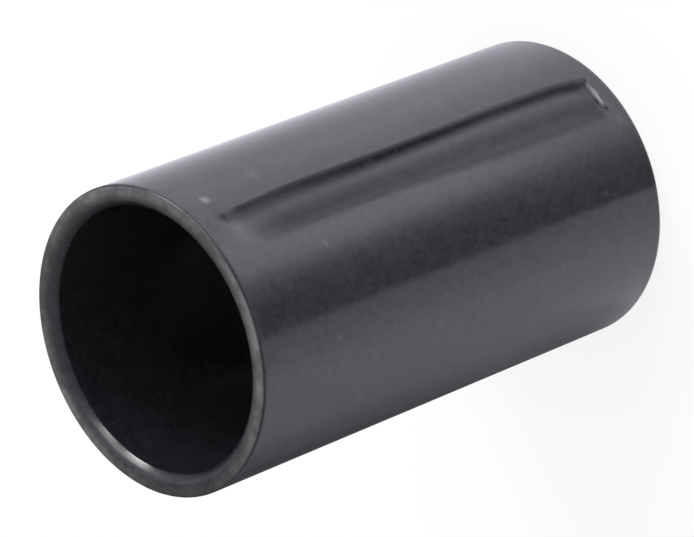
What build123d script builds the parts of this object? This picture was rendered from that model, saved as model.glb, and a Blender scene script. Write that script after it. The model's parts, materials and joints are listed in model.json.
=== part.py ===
from build123d import *
import math
import os

# A plain coupler for round conduit, moulded in one piece from rigid PVC. It stands on one end, with its
# axis along +Z and its origin at the centre of the lower end. Each end is a socket, and a stop ring at
# mid length keeps the two conduits apart. A shallow strip lies along the wall on the -Y side.

# Sizes in millimetres
conduit_diameter = 20.0
socket_clearance = 0.1     # gap on the radius, for a push fit with a film of cement
socket_depth = 20.5        # from the end face to the stop ring
wall_thickness = 1.7

# Stop ring between the two sockets
stop_width = 1.8           # across its foot
stop_height = 1.0
stop_draft = 0.15          # how far each side leans in from foot to crest
stop_bevel = 0.25          # along the two edges of its crest

# Mouth of each socket
lead_in_reach = 0.5        # bevel, across the end face
lead_in_depth = 0.6        # bevel, down the bore
rim_rounding = 0.4         # outer edge of the end face

# Shallow strip along the wall. Its sides slope, and its floor rises to the wall at the upper end.
strip_width = 4.1          # across, from brink to brink
strip_depth = 0.35
strip_lower_margin = 1.6   # from the lower end of the coupler to the strip
strip_upper_margin = 2.2   # from the upper end of the coupler to the strip
strip_side_angle = 35.0    # of its long sides to the wall, in degrees
strip_end_angle = 45.0     # of its lower end to the wall, in degrees
strip_ramp_length = 2.6    # of the floor's rise at the upper end
strip_corner_radius = 0.5
strip_foot_radius = 0.1    # where its sides and end meet its floor

socket_radius = conduit_diameter / 2 + socket_clearance
outer_radius = socket_radius + wall_thickness
stop_radius = socket_radius - stop_height
half_length = socket_depth + stop_width / 2
full_length = 2 * half_length


def wall_section():
    """Section of the wall, as radius and height over mid length. The lower half mirrors the upper one."""
    crest = (stop_radius, stop_width / 2 - stop_draft)
    corner = (socket_radius, stop_width / 2)
    bevel_start = (socket_radius, half_length - lead_in_depth)
    bevel_end = (socket_radius + lead_in_reach, half_length)
    rim = (outer_radius, half_length)
    upper = [crest, corner, bevel_start, bevel_end, rim]
    lower = [(radius, -height) for radius, height in reversed(upper)]
    section = make_face(Polyline(*upper, *lower, close=True))
    for side in (1, -1):
        edge = section.vertices().sort_by_distance((rim[0], side * rim[1]))[0]
        section = fillet(edge, rim_rounding)
    for side in (1, -1):
        edge = section.vertices().sort_by_distance((crest[0], side * crest[1]))[0]
        section = chamfer(edge, stop_bevel)
    return Plane.XZ * section


def turned_body():
    """The coupler without its strip: its section turned about the axis."""
    return Pos(0, 0, half_length) * revolve(wall_section(), Axis.Z)


def strip_outline(depth):
    """Outline of the strip's sides on an upright plane that lies that deep under the wall's foremost line."""
    brink_turn = math.asin(strip_width / 2 / outer_radius)
    brink_sag = outer_radius * (1 - math.cos(brink_turn))
    side_angle = math.radians(strip_side_angle) - brink_turn
    half_width = strip_width / 2 - (depth - brink_sag) / math.tan(side_angle)
    lower_end = strip_lower_margin + depth / math.tan(math.radians(strip_end_angle))
    upper_end = full_length
    middle = (lower_end + upper_end) / 2
    plane = Plane(origin=(0, depth - outer_radius, middle), x_dir=(1, 0, 0), z_dir=(0, -1, 0))
    return plane * RectangleRounded(2 * half_width, upper_end - lower_end, strip_corner_radius)


def strip_core():
    """What the strip leaves standing: a round core, which widens past the wall's radius at the upper end."""
    floor_radius = outer_radius - strip_depth
    ramp_end = full_length - strip_upper_margin
    slope = strip_depth / strip_ramp_length
    above = strip_upper_margin / 2
    points = [
        (0, 0),
        (floor_radius, 0),
        (floor_radius, ramp_end - strip_ramp_length),
        (outer_radius + above * slope, ramp_end + above),
        (outer_radius + above * slope, full_length + above),
        (0, full_length + above),
    ]
    return revolve(Plane.XZ * make_face(Polyline(*points, close=True)), Axis.Z)


def strip_space():
    """What the strip takes out of the wall: a bar with sloping sides, kept clear of the core."""
    bar = loft([strip_outline(2 * strip_depth), strip_outline(-strip_depth)], ruled=True)
    space = bar - strip_core()
    floor = space.faces().filter_by(GeomType.CYLINDER).sort_by(SortBy.AREA)[-1]
    return fillet(floor.edges(), strip_foot_radius)


def coupler_body():
    return turned_body() - strip_space()


os.makedirs("parts", exist_ok=True)
export_step(coupler_body(), "parts/coupler_body.step")
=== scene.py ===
import json
import math
import bpy
import numpy as np
from mathutils import Matrix, Vector


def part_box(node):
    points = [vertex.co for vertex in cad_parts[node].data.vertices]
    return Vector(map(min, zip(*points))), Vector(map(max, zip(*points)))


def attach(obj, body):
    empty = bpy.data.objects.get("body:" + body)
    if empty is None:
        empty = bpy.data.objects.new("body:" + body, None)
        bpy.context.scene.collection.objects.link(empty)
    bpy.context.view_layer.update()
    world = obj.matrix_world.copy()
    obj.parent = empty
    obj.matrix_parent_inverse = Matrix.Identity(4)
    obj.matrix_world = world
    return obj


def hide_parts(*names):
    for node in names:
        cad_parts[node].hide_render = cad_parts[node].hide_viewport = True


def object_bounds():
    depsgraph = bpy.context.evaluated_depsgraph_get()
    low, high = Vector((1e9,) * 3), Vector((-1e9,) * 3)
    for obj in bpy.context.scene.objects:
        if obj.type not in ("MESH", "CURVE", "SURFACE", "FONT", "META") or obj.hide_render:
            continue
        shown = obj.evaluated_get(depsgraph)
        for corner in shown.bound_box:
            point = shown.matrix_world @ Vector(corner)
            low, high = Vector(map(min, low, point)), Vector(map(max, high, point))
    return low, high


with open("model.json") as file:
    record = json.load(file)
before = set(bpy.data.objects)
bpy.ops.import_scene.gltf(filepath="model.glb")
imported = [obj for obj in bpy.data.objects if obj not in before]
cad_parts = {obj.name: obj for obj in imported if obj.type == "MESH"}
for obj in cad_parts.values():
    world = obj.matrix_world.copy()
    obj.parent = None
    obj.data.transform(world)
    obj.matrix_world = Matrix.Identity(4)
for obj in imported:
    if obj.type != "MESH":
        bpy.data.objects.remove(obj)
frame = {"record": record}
cad_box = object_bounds()


# The camera. The photograph looks into one socket, with the coupler lying across the picture. The
# coupler stands on its end here, so the camera looks down on it and is rolled until it lies the same way.
picture_size = (694, 537)
middle_pixel = (354.9, 262.3)       # where the photograph shows the coupler's middle
view_azimuth = math.radians(-25.8)  # from the strip's side
view_elevation = math.radians(41.6)
view_roll = math.radians(-111.3)
view_distance = 0.3826
sensor_width = 36                   # of the camera, in millimetres
lens = 264.7                        # focal length, in millimetres


def outward(azimuth, elevation=0.0):
    """The direction at that azimuth from the strip's side, -Y, and that elevation over the floor."""
    level = math.cos(elevation)
    return Vector((math.sin(azimuth) * level, -math.cos(azimuth) * level, math.sin(elevation)))


def looking_back(direction, roll=0.0):
    """The turn that points a lamp's or camera's own -Z axis against that direction."""
    side = Vector((0, 0, 1)).cross(direction).normalized()
    upright = Matrix((side, direction.cross(side), direction)).transposed()
    return upright @ Matrix.Rotation(roll, 3, "Z")


camera = bpy.data.objects.new("camera", bpy.data.cameras.new("camera"))
bpy.context.scene.collection.objects.link(camera)
bpy.context.scene.camera = camera
camera.data.sensor_width = sensor_width
camera.data.lens = lens
camera.data.clip_start = 0.01
camera.data.clip_end = 20
to_camera = outward(view_azimuth, view_elevation)
camera_turn = looking_back(to_camera, view_roll)
pixel = view_distance * sensor_width / lens / picture_size[0]
off_centre = Vector((middle_pixel[0] - picture_size[0] / 2, picture_size[1] / 2 - middle_pixel[1], 0))
middle = (cad_box[0] + cad_box[1]) / 2
camera_place = middle + to_camera * view_distance - camera_turn @ off_centre * pixel
camera.matrix_world = Matrix.Translation(camera_place) @ camera_turn.to_4x4()


# The coupler body, the only piece: rigid PVC, injection moulded in one shot. It has a socket in each
# end, a stop ring between them and a shallow strip along the wall, whose floor rises out at the mouth.
mm = 0.001
body_low, body_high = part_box("coupler_body")
socket = next(m for m in frame["record"]["mounts"] if m["name"] == "socket_upper")
half_length = (body_high.z - body_low.z) / 2 / mm
wall_radius = body_high.x / mm
socket_radius = socket["dims"]["r_mm"]
stop_radius = socket_radius - 1.0
stop_half_width = 0.9      # at the foot of the stop ring
stop_draft = 0.15          # how far each of its sides leans in
stop_bevel = 0.25          # along the edges of its crest
bevel_rise = 0.03          # of the bevel's outer edge over the crest's, because the side leans
lead_in = (0.5, 0.6)       # across the end face, down the bore

# Corners of the upper half of the section, in millimetres: radius, height over mid length, rounding
upper_corners = [
    (stop_radius, stop_half_width - stop_draft - stop_bevel, 0.08),
    (stop_radius + stop_bevel, stop_half_width - stop_draft + bevel_rise, 0.08),
    (socket_radius, stop_half_width, 0.1),
    (socket_radius, half_length - lead_in[1], 0.25),
    (socket_radius + lead_in[0], half_length, 0.6),
    (wall_radius, half_length, 0.24),
]

# Rows of the mesh along the section
arc_steps = 5
bore_rows = 22
short_rows = 3
wall_rows = 130
# Share of the wall's rows, and how far down the wall they reach: closest at the strip's two ends
wall_spacing = ((0, 0.03, 0.2, 0.66, 0.93, 1), (0, 0.04, 0.11, 0.95, 0.98, 1))


def section_line(corners):
    """A closed outline in radius and height. An arc tangent to both sides takes each corner's place: its
    ends lie rounding / tan(half the corner's angle) from the corner, and its centre lies on the bisector
    at rounding / sin(half the angle). The straight stretches between the arcs are divided into rows."""
    corners = np.array(corners)
    points = corners[:, :2]
    rounding = corners[:, 2:]
    back = np.roll(points, 1, axis=0) - points
    ahead = np.roll(points, -1, axis=0) - points
    back /= np.linalg.norm(back, axis=1, keepdims=True)
    ahead /= np.linalg.norm(ahead, axis=1, keepdims=True)
    half = np.arccos(np.clip((back * ahead).sum(axis=1, keepdims=True), -1, 1)) / 2
    bisector = (back + ahead) / np.linalg.norm(back + ahead, axis=1, keepdims=True)
    centre = points + bisector * rounding / np.sin(half)
    first = points + back * rounding / np.tan(half) - centre
    last = points + ahead * rounding / np.tan(half) - centre
    sweep = (math.pi - 2 * half)[:, :, None]
    share = np.linspace(0, 1, arc_steps + 1)[None, :, None]
    arcs = centre[:, None] + (
        np.sin((1 - share) * sweep) * first[:, None] + np.sin(share * sweep) * last[:, None]
    ) / np.sin(sweep)
    line = []
    for arc, following in zip(arcs, np.roll(arcs, -1, axis=0)):
        reach = abs(following[0] - arc[-1]).max()
        if reach > half_length:
            share = np.interp(np.linspace(0, 1, wall_rows)[1:-1], *wall_spacing)
        else:
            share = np.linspace(0, 1, bore_rows if reach > half_length / 2 else short_rows)[1:-1]
        line += [arc, arc[-1] + share[:, None] * (following[0] - arc[-1])]
    return np.concatenate(line)


# The strip, in millimetres. Across is measured round the wall from the strip's middle, and height from mid
# length. The side at positive across is the steep one, and its brink isn't quite straight.
strip_half_width = 2.1
strip_depth = 0.43
strip_slope = 0.6          # width of the steep side, if it didn't level out
strip_run_out = 1.6        # width of the side at negative across
strip_end = 0.44           # width of the lower end, if it didn't level out
strip_end_slant = 0.08     # how much that end rises per millimetre across
strip_lower_margin = 1.5   # from the lower end face to the brink of the lower end
strip_upper_margin = 1.6   # from the upper end face to where the floor meets the wall
strip_ramp = 2.8           # length over which the floor rises to the wall
strip_matt_ramp = 6.0      # length over which the floor loses its gloss
brink_shift = 0.2          # of the steep side's brink past the half width
brink_bow = 0.12           # how much further it bows out
brink_bow_height = -10     # where it bows out most
brink_bow_reach = 6
brink_turn_in = 0.35       # how far it turns in at each end
lower_turn_in = (-16.2, 4) # height at which it starts to turn in, and the length that takes
upper_turn_in = (11.5, 7)
# The dull black line is painted shade along the foot of the strip's steep side
shade_line_to_brink = 0.42       # from the middle of the dull black line to the brink
shade_line_margin = 2.1          # from the upper end face to the line's tip


def ease(share):
    """From 0 to 1 with no kink at either end."""
    share = np.clip(share, 0, 1)
    return share * share * (3 - 2 * share)


def levelling(share):
    """Straight down from the brink and then level, with a hollow between the two: the share over the fourth
    root of one plus its fourth power."""
    share = np.maximum(share, 0)
    return share / (1 + share ** 4) ** 0.25


def over_strip_end(across, height):
    """Distance up the wall from the brink of the strip's lower end, which lies a little aslant: the height
    over the lower end face, less the margin, plus the slant times across."""
    return height + half_length - strip_lower_margin + strip_end_slant * across


def strip_brink(height):
    """Across of the steep side's brink: the half width and the shift, plus a bell-shaped bow, less an eased
    turn inwards at each end."""
    bow = brink_bow * np.exp(-((height - brink_bow_height) / brink_bow_reach) ** 2)
    turn_in = ease((lower_turn_in[0] - height) / lower_turn_in[1])
    turn_in += ease((height - upper_turn_in[0]) / upper_turn_in[1])
    return strip_half_width + brink_shift + bow - brink_turn_in * turn_in


def strip_fall(across, height):
    """How deep the strip lies under the wall: its depth times a fall from each of its four sides. The steep
    side and the lower end level out, and the other side and the floor's rise are eased."""
    return (
        strip_depth
        * levelling((strip_brink(height) - across) / strip_slope)
        * ease((strip_half_width + across) / strip_run_out)
        * levelling(over_strip_end(across, height) / strip_end)
        * ease((half_length - strip_upper_margin - height) / strip_ramp)
    )


def strip_matt(across, height):
    """1 on the strip's floor, which has lost its gloss, and 0 on its lower end and the wall: a product of
    eased steps. The one at the steep side comes in two parts, slight at the brink and full further in. The
    one at negative across reaches a little past the strip, more so near the lower end."""
    inwards = strip_brink(height) - across
    past = 0.5 * ease((8 - height) / 20)
    return (
        (0.3 * ease(inwards / 0.5) + 0.7 * ease((inwards - 1) / 1.6))
        * ease(strip_half_width + past + across)
        * ease((over_strip_end(across, height) - 0.35) / 0.4)
        * ease((half_length - strip_upper_margin - height) / strip_matt_ramp)
    )


def strip_shade_line(across, height):
    """1 along the dull black line of painted shade on the strip's steep side: eased steps out to the brink,
    in over the floor and at both ends, times a slow fade lengthwise, plus a bell-shaped spot of painted shade
    at the tip by the upper end."""
    inwards = strip_brink(height) - shade_line_to_brink - across
    width = 0.95 + 0.3 * ease((height + 6) / 16)
    below_tip = half_length - shade_line_margin - height
    tip_shade = 0.45 * np.exp(-((inwards - 0.08) ** 2 + (below_tip - 0.2) ** 2) / 0.42 ** 2)
    line = ease(1 + inwards / 0.5) * ease(1 - inwards / width) * ease(over_strip_end(across, height) / 0.5)
    line *= (0.6 + 0.4 * ease(below_tip / 18)) * (0.85 + 0.15 * ease((height + 12) / 10))
    return np.clip(line * ease(below_tip / 0.6) + tip_shade, 0, 1)


def waves(turn, height, seed, lengthwise, around):
    """A slow, uneven swell: the mean of eight sine waves, each with its own whole number of waves round the
    axis, up to a given number, its own pitch along the axis and its own phase."""
    random = np.random.default_rng(seed)
    total = np.zeros(np.broadcast(turn, height).shape)
    for count, pitch, phase in zip(
        random.integers(0, around + 1, 8), random.uniform(-1, 1, 8), random.uniform(0, 2 * math.pi, 8)
    ):
        total += np.sin(count * turn + pitch * 2 * math.pi * height / lengthwise + phase)
    return total / 8


def turn_grid():
    """Angles round the axis from the strip's middle: small steps over the strip, the smallest at its steep
    side, and larger ones elsewhere. Each stretch leaves its last angle to the next one."""
    degrees = np.concatenate([
        np.linspace(-12, 2, 52)[:-1],
        np.linspace(2, 10.5, 56)[:-1],
        np.linspace(10.5, 12, 8)[:-1],
        np.linspace(12, 348, 180)[:-1],
    ])
    return np.radians(degrees)


def closed_grid_mesh(name, places):
    """A mesh from a grid of points whose rows and columns both close on themselves, as a ring's do."""
    rows, columns = places.shape[:2]
    number = np.arange(rows * columns).reshape(rows, columns)
    right = np.roll(number, -1, axis=1)
    below = np.roll(number, -1, axis=0)
    corner = np.roll(right, -1, axis=0)
    faces = np.stack([number, right, corner, below], axis=-1).reshape(-1, 4)
    mesh = bpy.data.meshes.new(name)
    mesh.vertices.add(rows * columns)
    mesh.vertices.foreach_set("co", places.ravel())
    mesh.loops.add(faces.size)
    mesh.loops.foreach_set("vertex_index", faces.ravel())
    mesh.polygons.add(len(faces))
    mesh.polygons.foreach_set("loop_start", np.arange(0, faces.size, 4))
    mesh.update(calc_edges=True)
    mesh.shade_smooth()
    mesh.validate()
    return mesh


# How much scuffing and painted sheen lighten the end faces: degrees round the axis from the strip's middle,
# and the share there
scuffing_sheen_share = (
    (4, 34, 64, 94, 124, 154, 184, 214, 244, 274, 304, 334),
    (0.72, 0.68, 1.1, 0.65, 0.5, 0.9, 0.82, 0.3, 0.1, 0.62, 1.1, 0.95),
)
wall_swell = 0.006         # millimetres

lower_corners = [(radius, -height, rounding) for radius, height, rounding in reversed(upper_corners)]
section = section_line(upper_corners + lower_corners)
turn = turn_grid()[None, :]
radius = section[:, :1]
height = section[:, 1:]
across = np.arctan2(np.sin(turn), np.cos(turn)) * wall_radius
outside = radius > wall_radius - 0.2

# What the material reads from the mesh, 0 where it is absent: the scuffing and painted sheen of the end
# faces, stronger towards the wall, the rim at each mouth, the strip's matt floor, the painted shade of its
# dull line and the painted shade inside the sockets
# Scuffing and painted sheen: the end faces lightened by the share round the axis, more towards the wall
end_face = ease((abs(height) - half_length + 0.06) / 0.05) * (radius < wall_radius - 0.1)
end_face = end_face * np.interp(np.degrees(turn), *scuffing_sheen_share, period=360)
end_face = end_face * (0.5 + ease((radius - 10.9) / 0.4))
rim = ease((abs(height) - half_length + lead_in[1]) / 0.3)
matt = strip_matt(across, height) * outside
# Painted shade: the dull black line along the strip's steep side
line = strip_shade_line(across, height) * outside
# Painted shade: 1 on the bore and stop, which the material darkens
inside = ease((socket_radius + 0.25 - radius) / 0.1)
shares = {"matt": matt, "line": line, "end_face": end_face, "rim": rim, "inside": inside}

swell = wall_swell * waves(turn, height, seed=5, lengthwise=14, around=6)
radius = radius + (swell - strip_fall(across, height)) * outside
height = np.broadcast_to(height, radius.shape) + body_low.z / mm + half_length
places = np.stack([radius * np.sin(turn), -radius * np.cos(turn), height], axis=-1) * mm
coupler = bpy.data.objects.new("coupler_moulding", closed_grid_mesh("coupler_moulding", places))
bpy.context.scene.collection.objects.link(coupler)
for name, values in shares.items():
    attribute = coupler.data.attributes.new(name, "FLOAT", "POINT")
    attribute.data.foreach_set("value", np.broadcast_to(values, radius.shape).astype(np.float32).ravel())


class Wire:
    """A socket in a material's nodes. Arithmetic on wires adds the Math nodes that work it out."""

    def __init__(self, tree, socket=None):
        self.tree = tree
        self.socket = socket

    def node(self, kind, settings=None, inputs=None, output=0):
        """Adds a node of that kind: its settings first, then its sockets' values or links."""
        made = self.tree.nodes.new(kind)
        for name, value in (settings or {}).items():
            if name == "stops":
                while len(made.color_ramp.elements) < len(value):
                    made.color_ramp.elements.new(0.5)
                for element, (position, tone) in zip(made.color_ramp.elements, value):
                    element.position = position
                    element.color = (tone, tone, tone, 1)
            else:
                setattr(made, name, value)
        for name, value in (inputs or {}).items():
            if isinstance(value, Wire):
                self.tree.links.new(value.socket, made.inputs[name])
            else:
                made.inputs[name].default_value = value
        return Wire(self.tree, made.outputs[output])

    def math(self, operation, *values):
        return self.node("ShaderNodeMath", {"operation": operation}, dict(enumerate(values)))

    def clamp(self):
        return self.node("ShaderNodeClamp", {}, {"Value": self})

    def between(self, low, high):
        """The colour this far from low to high. Sockets 0, 6 and 7 are a Mix node's factor and colours."""
        return self.node("ShaderNodeMix", {"data_type": "RGBA"}, {0: self, 6: low, 7: high}, output=2)

    def __add__(self, other):
        return self.math("ADD", self, other)

    def __sub__(self, other):
        return self.math("SUBTRACT", self, other)

    def __rsub__(self, other):
        return self.math("SUBTRACT", other, self)

    def __mul__(self, other):
        return self.math("MULTIPLY", self, other)

    __radd__ = __add__
    __rmul__ = __mul__


pvc_dark = (0.0105, 0.0105, 0.013, 1)
pvc_light = (0.0265, 0.026, 0.031, 1)
# Painted shade: the black of the dull line along the strip and of the darkening inside the sockets
shade_black = (0.006, 0.006, 0.0085, 1)
pvc_scuffed_sheen = (0.17, 0.17, 0.175, 1)
pvc_roughness = 0.15
strip_roughness = 0.75
grain_height = 0.0025      # millimetres

# Small scuffs: degrees round the axis from the strip's middle, height, radius in millimetres, strength
scuffs = [
    (17.0, 40.3, 0.6, 0.75), (6.5, 2.0, 0.8, 0.6), (1.5, 1.7, 0.6, 0.35), (-4.0, 1.6, 0.5, 0.2),
    (1.7, 14.9, 0.5, 0.3), (-15.8, 33.7, 0.35, 0.25), (-49.0, 35.0, 0.4, 0.17), (-39.5, 36.7, 0.3, 0.14),
    (-35.8, 5.6, 0.3, 0.18), (20.8, 34.8, 0.7, 0.14), (-12.0, 1.2, 0.6, 0.2),
]


def black_pvc(material):
    """Rigid black PVC as it leaves the mould: glossy, with a faint mottle in its colour and its gloss, the
    strip's floor gone matt with painted shade in a dull black line along it, painted shade inside the
    sockets, end faces scuffed and lightened with painted sheen, and a few scuffs elsewhere."""
    material.use_nodes = True
    tree = material.node_tree
    shader = tree.nodes["Principled BSDF"]
    start = Wire(tree)
    place = start.node("ShaderNodeTexCoord", output="Object")
    place = start.node("ShaderNodeVectorMath", {"operation": "SCALE"}, {0: place, "Scale": 1 / mm})

    def layer(name):
        return start.node("ShaderNodeAttribute", {"attribute_name": name}, output="Fac")

    def noise(scale, detail):
        return start.node("ShaderNodeTexNoise", {}, {"Vector": place, "Scale": scale, "Detail": detail})

    def ramp(value, low, high):
        return start.node("ShaderNodeMapRange", {"interpolation_type": "SMOOTHSTEP"}, {
            "Value": value, "From Min": low, "From Max": high})

    # Unevenness of three sizes, by how many times it varies in a millimetre
    patches = noise(0.6, 3.0)
    mottle = noise(1.9, 3.0)
    grain = noise(6.0, 2.0)
    shade = (mottle - 0.5) * 1.8 + (grain - 0.5) * 0.6 + (patches - 0.5) * 0.8 + 0.5
    colour = shade.clamp().between(pvc_dark, pvc_light)
    # Painted shade: the bore and stop darkened towards black
    colour = (layer("inside") * 0.4).between(colour, shade_black)
    # Scuffs and painted sheen: the end faces lightened, plus pale grain specks, a little on each rim and the
    # small scuffs
    scuff_and_sheen = layer("end_face") * (0.55 + 0.45 * ramp(patches + (mottle - 0.5) * 0.6, 0.4, 0.65)) * 0.48
    scuff_and_sheen = scuff_and_sheen + ramp(grain, 0.68, 0.8) * 0.12 + layer("rim") * 0.05
    for azimuth, height, reach, strength in scuffs:
        turn = math.radians(azimuth)
        centre = (wall_radius * math.sin(turn), -wall_radius * math.cos(turn), body_low.z / mm + height)
        gap = start.node(
            "ShaderNodeVectorMath", {"operation": "DISTANCE"}, {0: place, 1: centre}, output="Value")
        scuff_and_sheen = scuff_and_sheen + ramp(gap + (grain - 0.5) * 0.3, reach, 0) * strength
    colour = scuff_and_sheen.clamp().between(colour, pvc_scuffed_sheen)
    tree.links.new(colour.socket, shader.inputs["Base Color"])

    roughness = pvc_roughness + 0.07 * (mottle - 0.5) + 0.05 * (patches - 0.5)
    roughness = roughness + layer("matt") * (strip_roughness - pvc_roughness) + layer("rim") * 0.12
    roughness = roughness + scuff_and_sheen.clamp() * 0.25
    tree.links.new(roughness.socket, shader.inputs["Roughness"])
    bump = start.node("ShaderNodeBump", {}, {"Strength": 1.0, "Distance": grain_height * mm, "Height": grain})
    tree.links.new(bump.socket, shader.inputs["Normal"])
    shader.inputs["IOR"].default_value = 1.5

    # Painted shade: a dull black diffuse mixed over the gloss along the strip's steep side
    shade_diffuse = start.node("ShaderNodeBsdfDiffuse", {}, {"Color": shade_black})
    share = (layer("line") * (0.88 + 0.5 * (mottle - 0.5))).clamp()
    surface = Wire(tree, shader.outputs["BSDF"])
    mixed = start.node("ShaderNodeMixShader", {}, {0: share, 1: surface, 2: shade_diffuse})
    tree.links.new(mixed.socket, tree.nodes["Material Output"].inputs["Surface"])


coupler.data.materials.append(bpy.data.materials.new("black_pvc_moulded"))
black_pvc(coupler.data.materials[0])
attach(coupler, "root")
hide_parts("coupler_body")


# The floor and the light. A pale floor, a white studio round it and three soft lamps on the strip's side. Two
# screens that only reflections see give the wall its dark and light bands: a card on the floor and a dome.
floor_radius = 3.0
floor_white = (0.95, 0.95, 0.95, 1)
shadow_share = 0.2         # of the floor's look that takes light and shadow
studio_tint = (1.0, 0.97, 1.08)
studio_light = 0.9


def disc(name, radius, height, sides=128):
    """A flat round sheet: a fan of triangles about its middle."""
    angle = np.linspace(0, 2 * math.pi, sides, endpoint=False)
    ring = np.stack([radius * np.cos(angle), radius * np.sin(angle), np.full(sides, height)], axis=1)
    number = np.arange(sides)
    fan = np.stack([np.full(sides, sides), number, np.roll(number, -1)], axis=1)
    mesh = bpy.data.meshes.new(name)
    mesh.from_pydata(np.vstack([ring, [[0, 0, height]]]), [], fan)
    sheet = bpy.data.objects.new(name, mesh)
    bpy.context.scene.collection.objects.link(sheet)
    mesh.materials.append(bpy.data.materials.new(name))
    mesh.materials[0].use_nodes = True
    mesh.materials[0].node_tree.nodes.clear()
    return sheet


def white_to_picture(start):
    """1 for the rays that should see plain white: the camera's, reflected ones and those through glass."""
    path = start.node("ShaderNodeLightPath").socket.node
    rays = [Wire(start.tree, path.outputs[f"Is {ray} Ray"]) for ray in ("Camera", "Glossy", "Transmission")]
    return (rays[0] + rays[1] + rays[2]).clamp()


def finish_with(start, kind, shader):
    """Adds the output node of a material or the world and leads the shader into it."""
    output = start.tree.nodes.new(kind)
    start.tree.links.new(shader.socket, output.inputs["Surface"])


floor = disc("floor", floor_radius, body_low.z)
start = Wire(floor.data.materials[0].node_tree)
plain = start.node("ShaderNodeBsdfDiffuse", {}, {"Color": floor_white})
glow = start.node("ShaderNodeEmission", {}, {"Color": (1, 1, 1, 1), "Strength": 1.0})
share = white_to_picture(start) * (1 - shadow_share)
floor_look = start.node("ShaderNodeMixShader", {}, {0: share, 1: plain, 2: glow})
finish_with(start, "ShaderNodeOutputMaterial", floor_look)


def direction_tones(start, place, stops):
    """Tones by direction round the upright axis, in degrees from the camera's side, from -180 to 180. Those
    over 0 lie towards the picture's lower edge. The mirroring and the turn bring 0 to the middle of the
    gradient, which runs once round the axis."""
    mirrored = start.node("ShaderNodeVectorMath", {"operation": "MULTIPLY"}, {0: place, 1: (1, -1, 1)})
    turned = start.node(
        "ShaderNodeVectorRotate", {"rotation_type": "Z_AXIS"},
        {"Vector": mirrored, "Angle": view_azimuth - math.pi / 2},
    )
    around = start.node(
        "ShaderNodeTexGradient", {"gradient_type": "RADIAL"}, {"Vector": turned}, output="Fac")
    stops = [((angle + 180) / 360, tone) for angle, tone in stops]
    return start.node("ShaderNodeValToRGB", {"stops": stops}, {"Fac": around})


def only_in_reflections(screen):
    """Hides the screen from everything except glossy surfaces."""
    screen.visible_camera = False
    screen.visible_diffuse = False
    screen.visible_transmission = False
    screen.visible_shadow = False


def tinted_light(start, tone, strength):
    """Makes the surface glow with that tone in the studio's tint."""
    tinted = start.node("ShaderNodeVectorMath", {"operation": "MULTIPLY"}, {0: tone, 1: studio_tint})
    finish_with(start, "ShaderNodeOutputMaterial", start.node(
        "ShaderNodeEmission", {}, {"Color": tinted, "Strength": strength}))


# The card's tones by direction. A round mirror sees a far-off thing from half its radius, so the directions
# start from there. Two rows of tones, one for the nearby card and one for further off, blend with distance.
card_strength = 2.4
card_near_to_far = (0.011, 0.026)   # distances in metres between which the rows blend
card_fade = (0.07, 0.15)            # distances in metres between which both give way to one tone
card_rest = (0.12, 0.12, 0.12, 1)
card_lift = 0.0001                  # metres over the floor
card_far = [
    (-180, 0.64), (-172, 0.68), (-164, 0.59), (-150, 0.46), (-136, 0.44), (-120, 0.42), (-106, 0.46),
    (-95, 0.6), (-76, 0.64), (-60, 0.72), (-34, 0.95), (-27, 0.95), (-20, 0.82), (-12, 0.46), (-4, 0.25),
    (4, 0.16), (12, 0.12), (26, 0.12), (29, 0.42), (36, 0.43), (48, 0.5), (60, 0.55), (72, 0.51), (86, 0.41),
    (100, 0.29), (120, 0.12), (140, 0.04), (170, 0.03), (180, 0.64),
]
card_near = [
    (-180, 0.25), (-166, 0.33), (-155, 0.33), (-140, 0.36), (-126, 0.36), (-112, 0.39), (-100, 0.48),
    (-90, 0.55), (-70, 0.6), (-34, 0.7), (-24, 0.68), (-16, 0.5), (-4, 0.29), (6, 0.19), (14, 0.14),
    (26, 0.13), (29, 0.45), (40, 0.48), (60, 0.56), (80, 0.49), (91, 0.42), (101, 0.23), (112, 0.1),
    (124, 0.03), (170, 0.03), (180, 0.25),
]
card = disc("graded_card", floor_radius, body_low.z + card_lift)
start = Wire(card.data.materials[0].node_tree)
place = start.node("ShaderNodeTexCoord", output="Object")
focus = outward(view_azimuth) * wall_radius * mm / 2
place = start.node("ShaderNodeVectorMath", {"operation": "SUBTRACT"}, {0: place, 1: focus})
distance = start.node("ShaderNodeVectorMath", {"operation": "LENGTH"}, {0: place}, output="Value")
away, far_off = [
    start.node("ShaderNodeMapRange", {}, {"Value": distance, "From Min": nearer, "From Max": further})
    for nearer, further in (card_near_to_far, card_fade)
]
tone = away.between(direction_tones(start, place, card_near), direction_tones(start, place, card_far))
tinted_light(start, far_off.between(tone, card_rest), card_strength)
only_in_reflections(card)


def dome_mesh(name, radius, columns=64, rows=16):
    """The upper half of a sphere: rings of points, each as wide as the cosine of its elevation and as high as
    the sine, and one point at the crown."""
    up = np.linspace(0, math.pi / 2, rows + 1)[:-1, None]
    round_it = np.linspace(0, 2 * math.pi, columns, endpoint=False)[None, :]
    ring = np.stack(
        [np.cos(up) * np.cos(round_it), np.cos(up) * np.sin(round_it), np.sin(up) + 0 * round_it], axis=-1)
    number = np.arange(rows * columns).reshape(rows, columns)
    beside = np.roll(number, -1, axis=1)
    faces = np.stack([number[:-1], number[1:], beside[1:], beside[:-1]], axis=-1).reshape(-1, 4).tolist()
    faces += [(number[-1, k], rows * columns, beside[-1, k]) for k in range(columns)]
    mesh = bpy.data.meshes.new(name)
    mesh.from_pydata(np.vstack([ring.reshape(-1, 3), [[0, 0, 1]]]) * radius, [], faces)
    return mesh


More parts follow.
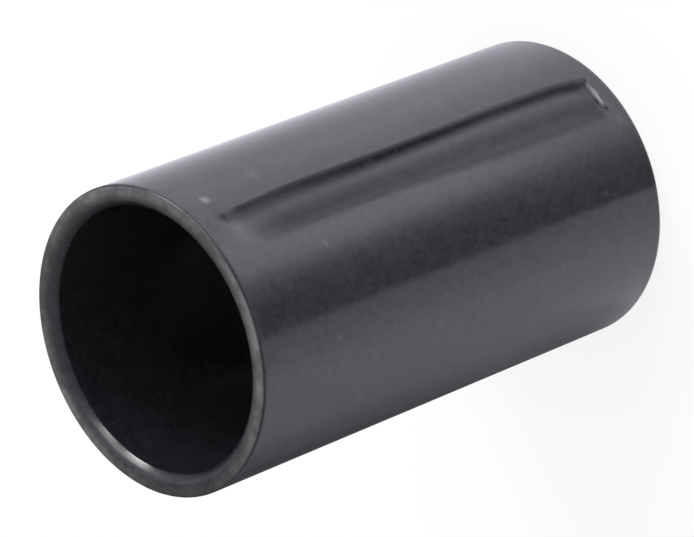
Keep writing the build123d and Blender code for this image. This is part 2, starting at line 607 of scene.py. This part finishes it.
dome_radius = floor_radius * 0.95
dome_strength = 1.3
dome = bpy.data.objects.new("dome", dome_mesh("dome", dome_radius))
bpy.context.scene.collection.objects.link(dome)
dome.data.materials.append(bpy.data.materials.new("dome"))
dome.data.materials[0].use_nodes = True
dome.data.materials[0].node_tree.nodes.clear()
start = Wire(dome.data.materials[0].node_tree)
place = start.node("ShaderNodeTexCoord", output="Object")
# The dome's tones by direction, as the card's
dome_round = [
    (-180, 0.15), (-165, 0.2), (-145, 0.55), (-90, 0.9), (-50, 0.6), (-20, 0.3), (20, 0.3), (60, 0.35),
    (140, 0.33), (165, 0.17), (180, 0.15),
]
# The dome's tones by the sine of the elevation
dome_up = [(0.0, 0.3), (0.2, 0.4), (0.4, 0.8), (0.6, 1.0), (0.75, 1.0), (1.0, 0.6)]
upward = start.node("ShaderNodeSeparateXYZ", {}, {0: place}, output="Z") * (1 / dome_radius)
by_height = start.node("ShaderNodeValToRGB", {"stops": dome_up}, {"Fac": upward})
tone = start.node("ShaderNodeVectorMath", {"operation": "MULTIPLY"}, {
    0: direction_tones(start, place, dome_round), 1: by_height})
tinted_light(start, tone, dome_strength)
only_in_reflections(dome)

world = bpy.data.worlds.new("studio")
bpy.context.scene.world = world
world.use_nodes = True
world.node_tree.nodes.clear()
start = Wire(world.node_tree)
seen = start.node("ShaderNodeBackground", {}, {"Color": (1, 1, 1, 1), "Strength": 1.0})
lighting = start.node("ShaderNodeBackground", {}, {"Color": (1, 1, 1, 1), "Strength": studio_light})
studio = start.node("ShaderNodeMixShader", {}, {0: white_to_picture(start), 1: lighting, 2: seen})
finish_with(start, "ShaderNodeOutputWorld", studio)


def softbox(name, azimuth, elevation, distance, size, radiance):
    """A square lamp that faces the coupler's middle. Its power is radiance times pi times its area."""
    lamp = bpy.data.objects.new(name, bpy.data.lights.new(name, "AREA"))
    bpy.context.scene.collection.objects.link(lamp)
    lamp.data.size = size
    lamp.data.energy = radiance * math.pi * size * size
    direction = outward(azimuth, elevation)
    place = middle + direction * distance
    lamp.matrix_world = Matrix.Translation(place) @ looking_back(direction).to_4x4()
    lamp.visible_camera = False
    return lamp


softbox("side_lamp", view_azimuth + math.radians(88), math.radians(22), 0.4, 0.12, 13.0)
softbox("upper_lamp", view_azimuth + math.radians(58), math.radians(36), 0.42, 0.09, 7.0)
softbox("side_fill", view_azimuth + math.radians(72), math.radians(26), 0.5, 0.36, 1.5)


bpy.context.scene.view_settings.view_transform = "Standard"
